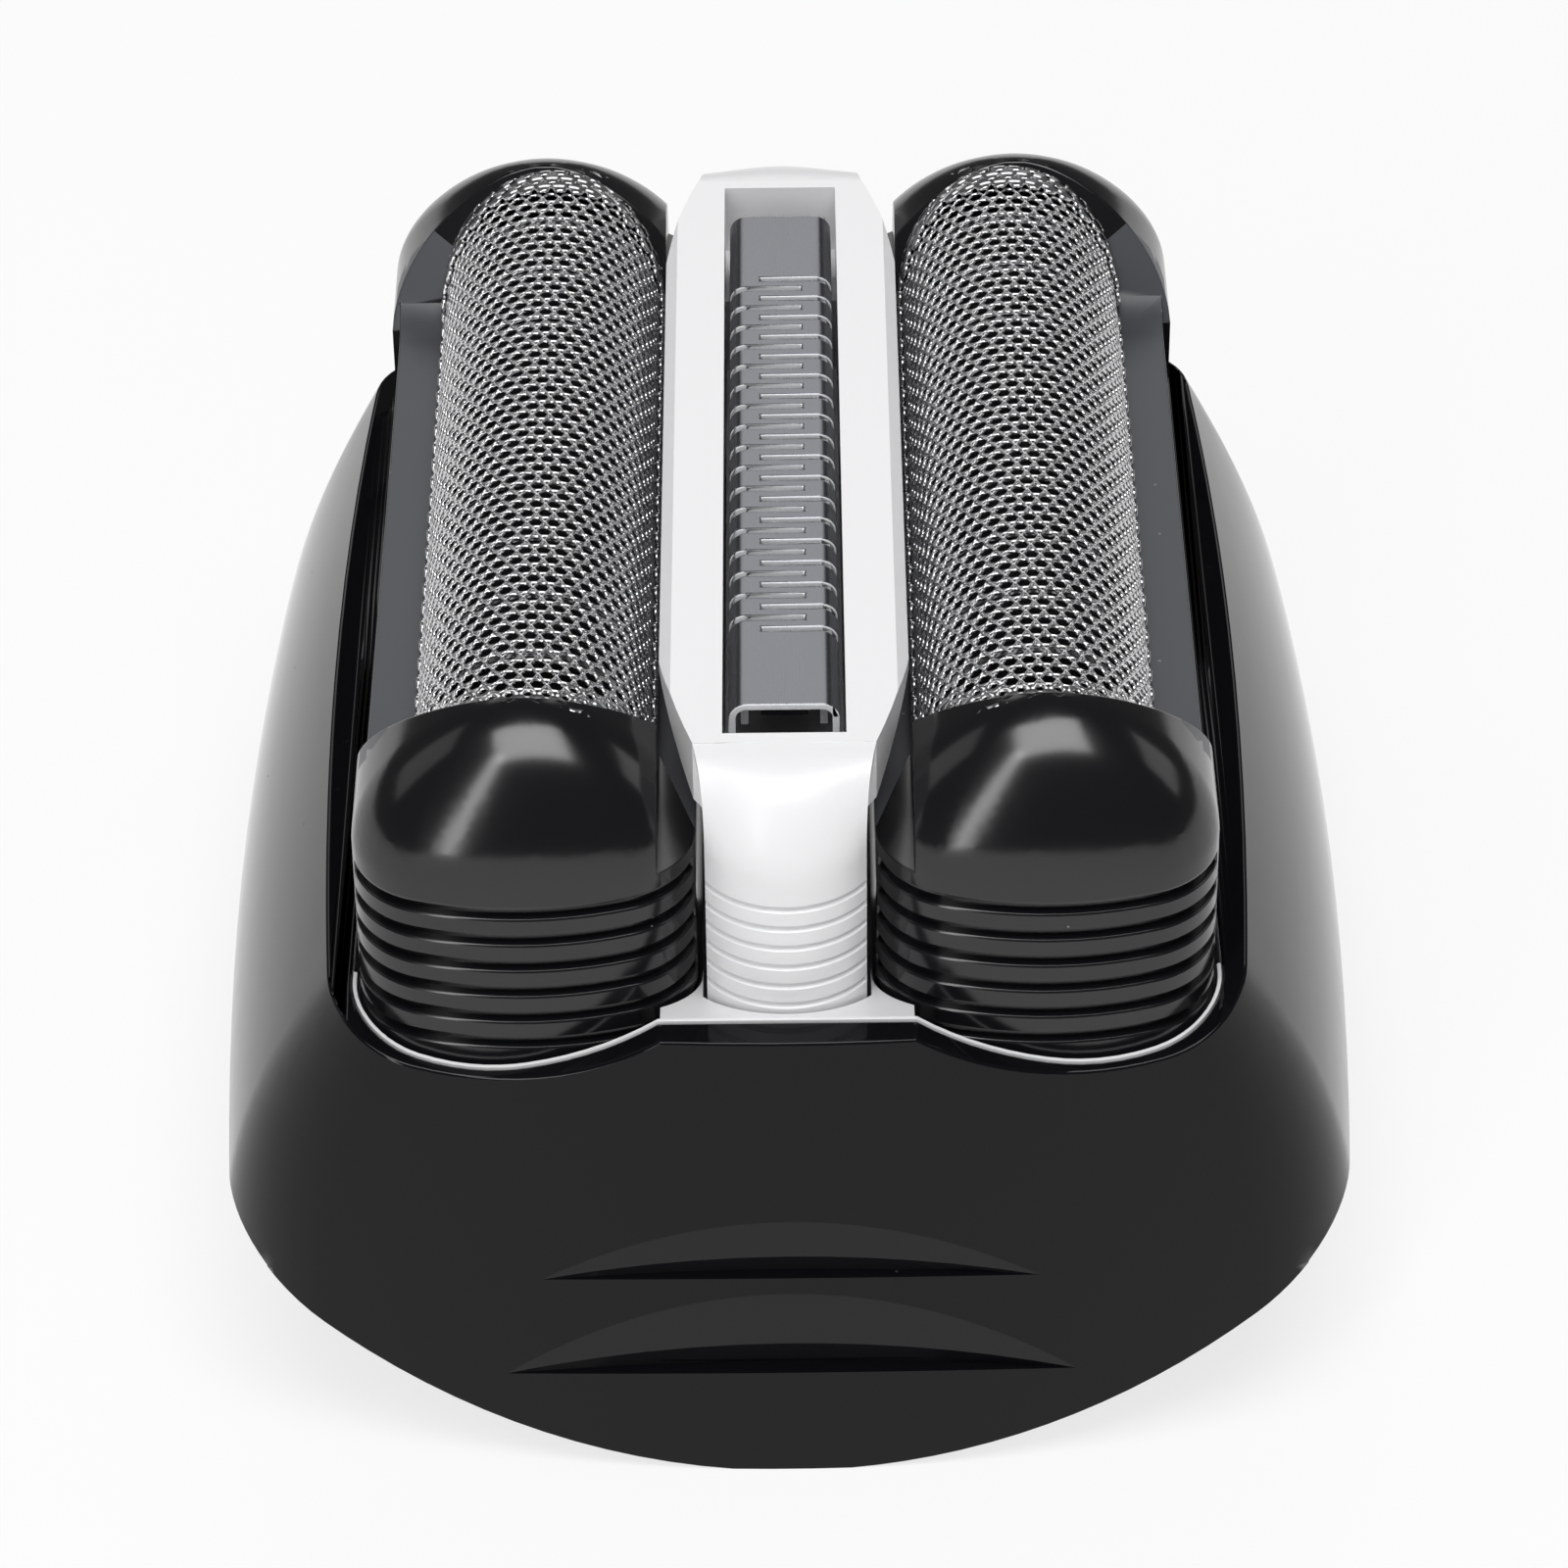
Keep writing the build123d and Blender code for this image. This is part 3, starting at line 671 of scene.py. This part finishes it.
@dataclass
class Studio:
    """Pale floor, soft lamps and a dim room."""

    floor_size: float = 8.0
    floor_gap: float = 0.02 * MM
    floor_colour: Colour = (0.93, 0.93, 0.93)
    floor_glow: float = 0.75
    room: float = 0.1
    lamps: tuple[Softbox, ...] = (
        Softbox("ceiling", -90, 84, 0.9, 1.1, 1.1, 0.2, mirrored=False),
        Softbox("fill", -80, 25, 0.9, 1.0, 0.6, 0.55, mirrored=False),
        Softbox("key", -80, 74, 0.8, 0.55, 0.38, 6.2),
        Softbox("back", 92, 37, 0.7, 0.5, 0.26, 1.6),
        Softbox("streak", -117, 30, 0.6, 0.07, 0.7, 7.0),
        Softbox("left", 170, 35, 0.6, 0.25, 0.35, 0.6),
        Softbox("right", 12, 26, 0.7, 0.3, 0.25, 1.0),
    )

    def floor(self) -> bpy.types.Object:
        """Make the floor plane.

        Returns:
            The floor.
        """
        mesh = bmesh.new()
        below = Matrix.Translation((0, 0, -self.floor_gap))
        bmesh.ops.create_grid(mesh, x_segments=1, y_segments=1, size=self.floor_size / 2, matrix=below)
        made = object_of("floor", mesh)
        material, tree, shader = start_material("floor_paper")
        shader.inputs["Base Color"].default_value = (*self.floor_colour, 1.0)
        shader.inputs["Roughness"].default_value = 0.9
        shader.inputs["Specular IOR Level"].default_value = 0.1
        path = add(tree, "ShaderNodeLightPath")
        mirrored = add(tree, "ShaderNodeMath", operation="MAXIMUM")
        seen = add(tree, "ShaderNodeMath", operation="MAXIMUM")
        share = add(tree, "ShaderNodeMath", operation="MULTIPLY")
        share.inputs[1].default_value = self.floor_glow
        glow = add(tree, "ShaderNodeEmission")
        mix = add(tree, "ShaderNodeMixShader")
        link = tree.links.new
        link(path.outputs["Is Glossy Ray"], mirrored.inputs[0])
        link(path.outputs["Is Transmission Ray"], mirrored.inputs[1])
        link(path.outputs["Is Camera Ray"], seen.inputs[0])
        link(mirrored.outputs[0], seen.inputs[1])
        link(seen.outputs[0], share.inputs[0])
        link(share.outputs[0], mix.inputs[0])
        link(shader.outputs[0], mix.inputs[1])
        link(glow.outputs[0], mix.inputs[2])
        link(mix.outputs[0], tree.nodes["Material Output"].inputs["Surface"])
        made.data.materials.append(material)
        return made

    def build(self) -> None:
        """Set up floor, lamps, room and the colour view."""
        self.floor()
        for lamp in self.lamps:
            lamp.build()
        world = bpy.data.worlds.new("room")
        world.use_nodes = True
        sky = world.node_tree.nodes["Background"]
        sky.inputs["Color"].default_value = (1.0, 1.0, 1.0, 1.0)
        sky.inputs["Strength"].default_value = self.room
        scene = bpy.context.scene
        scene.world = world
        scene.view_settings.view_transform = "Standard"


@dataclass
class PhotoCamera:
    """The camera, set where the photograph was taken from."""

    place: tuple[float, float, float] = (0.3518 * MM, -171.686 * MM, 148.307 * MM)
    elevation: float = math.radians(38.256)
    yaw: float = 0.00245
    roll: float = -0.01196
    focal_pixels: float = 6150.0
    frame_pixels: float = 1600.0
    sensor: float = 36.0

    def build(self) -> bpy.types.Object:
        """Make the camera and give it to the scene.

        Returns:
            The camera.
        """
        data = bpy.data.cameras.new("photo_camera")
        data.sensor_width = self.sensor
        data.lens = self.sensor * self.focal_pixels / self.frame_pixels
        data.clip_start = 0.01
        camera = bpy.data.objects.new("photo_camera", data)
        rise = self.elevation
        back = Vector(
            (math.sin(self.yaw) * math.cos(rise), -math.cos(self.yaw) * math.cos(rise), math.sin(rise))
        )
        right = Vector((0, 0, 1)).cross(back).normalized()
        up = back.cross(right)
        turned_right = math.cos(self.roll) * right + math.sin(self.roll) * up
        turned_up = -math.sin(self.roll) * right + math.cos(self.roll) * up
        pose = Matrix((turned_right, turned_up, back)).transposed().to_4x4()
        pose.translation = Vector(self.place)
        camera.matrix_world = pose
        bpy.context.scene.collection.objects.link(camera)
        bpy.context.scene.camera = camera
        return camera


class FoilHead:
    """The whole head: its moulded pieces, foils and inner pieces."""

    RAIL_REACH: ClassVar[float] = 13.2 * MM
    RAMP_INNER: ClassVar[float] = 12.2 * MM
    RAMP_FROM: ClassVar[float] = 10.5 * MM
    RAMP_TO: ClassVar[float] = 14.6 * MM
    RIB_TOP: ClassVar[float] = 23.7 * MM
    LEDGE_RISE: ClassVar[float] = 0.7
    RAMP_RISE: ClassVar[float] = 0.3
    TOP_RISE: ClassVar[float] = 0.98
    CUT_FACING: ClassVar[float] = 0.7
    GRIP_END: ClassVar[float] = 19.0 * MM
    GRIP_HIGH: ClassVar[float] = 13.0 * MM

    @classmethod
    def cap_edges(cls, edge: bmesh.types.BMEdge) -> bool:
        """Tell the edges of a foil frame that are rounded.

        Args:
            edge: An edge of a foil frame.

        Returns:
            True on an outward edge above the ribs or along a rib's upper side.
        """
        if not edge.is_convex:
            return False
        on_ledge = any(face.normal.z > cls.LEDGE_RISE for face in edge.link_faces)
        return on_ledge or min(vertex.co.z for vertex in edge.verts) > cls.RIB_TOP

    @classmethod
    def at_grips(cls, edge: bmesh.types.BMEdge) -> bool:
        """Tell the edges of the housing's end walls, which carry the finger grips.

        Args:
            edge: An edge of the housing.

        Returns:
            True on an edge at or below the grips.
        """
        place = (edge.verts[0].co + edge.verts[1].co) / 2
        return abs(place.y) > cls.GRIP_END and place.z < cls.GRIP_HIGH

    @classmethod
    def clear_of_grips(cls, edge: bmesh.types.BMEdge) -> bool:
        """Tell the edges of the housing that lie clear of its finger grips.

        Args:
            edge: An edge of the housing.

        Returns:
            True on an outward edge away from the grips.
        """
        return edge.is_convex and not cls.at_grips(edge)

    @classmethod
    def rail_zone(cls, face: bmesh.types.BMFace) -> int:
        """Tell the rail tops and their end ramps, which take a lighter satin colour, from the glossy caps:
        on the rail tops the lighter colour is a painted sheen, and on the ramps it is a painted highlight.

        Args:
            face: A face of a foil frame.

        Returns:
            1 on a rail top or a ramp and 0 elsewhere.
        """
        place = face.calc_center_median()
        beside_ramp = abs(place.x) > cls.RAMP_INNER and cls.RAMP_FROM < abs(place.y) < cls.RAMP_TO
        if beside_ramp and face.normal.z > cls.RAMP_RISE:
            return 1
        return int(face.normal.z > cls.TOP_RISE and abs(place.y) < cls.RAIL_REACH)

    @classmethod
    def comb_zone(cls, face: bmesh.types.BMFace) -> int:
        """Tell the cut walls of the comb's slots, which carry a near-white painted highlight, from its
        rolled sheet.

        Args:
            face: A face of the comb.

        Returns:
            1 on a cut wall and 0 elsewhere.
        """
        return int(abs(face.normal.y) > cls.CUT_FACING)

    def build(self) -> list[bpy.types.Object]:
        """Build every piece.

        Returns:
            The pieces in the order they were built.
        """
        pieces = [
            MouldedPiece(
                "housing",
                Body.HOUSING,
                Slot.HOUSING,
                (HOUSING_BLACK,),
                weighting="CORNER_ANGLE",
                fine=self.at_grips,
                rounded=self.clear_of_grips,
            ).build(),
            MouldedPiece(
                "carrier_frame", Body.HOUSING, Slot.WHITE, (WHITE,), edge=0.05 * MM, clamp=True
            ).build(),
            MouldedPiece(
                "trimmer_frame", Body.TRIMMER, Slot.WHITE, (WHITE,), edge=0.2 * MM, clamp=True
            ).build(),
            MouldedPiece(
                "trimmer_comb",
                Body.TRIMMER,
                Slot.COMB,
                (COMB_STEEL, COMB_CUT_PAINTED_HIGHLIGHT),
                edge=0.05 * MM,
                clamp=True,
                zone=self.comb_zone,
            ).build(),
        ]
        for side, body in (("left", Body.LEFT_FOIL), ("right", Body.RIGHT_FOIL)):
            caps = MouldedPiece(
                side + "_foil_frame",
                body,
                Slot.FRAME,
                (CAP_BLACK, RAIL_SATIN_PAINTED_SHEEN),
                edge=0.05 * MM,
                zone=self.rail_zone,
                rounded=self.cap_edges,
            )
            pieces.append(caps.build())
            pieces.append(FoilSheet(side + "_foil", body).build())
        for joint in frame["joints"]:
            low, high = joint["range_m"]
            for spring in joint.get("deforming_nodes", ()):
                leaf = LeafSpring(spring["node"], joint["name"], spring["fixed_end_z_m"], high - low)
                pieces.append(leaf.build())
        Inside().dress()
        return pieces


def main() -> None:
    """Build the head, the studio and the camera."""
    logging.basicConfig(level=logging.INFO, format="%(name)s: %(message)s")
    for piece in FoilHead().build():
        log.info("built %s", piece.name)
    Studio().build()
    PhotoCamera().build()


if __name__ == "__main__":
    main()
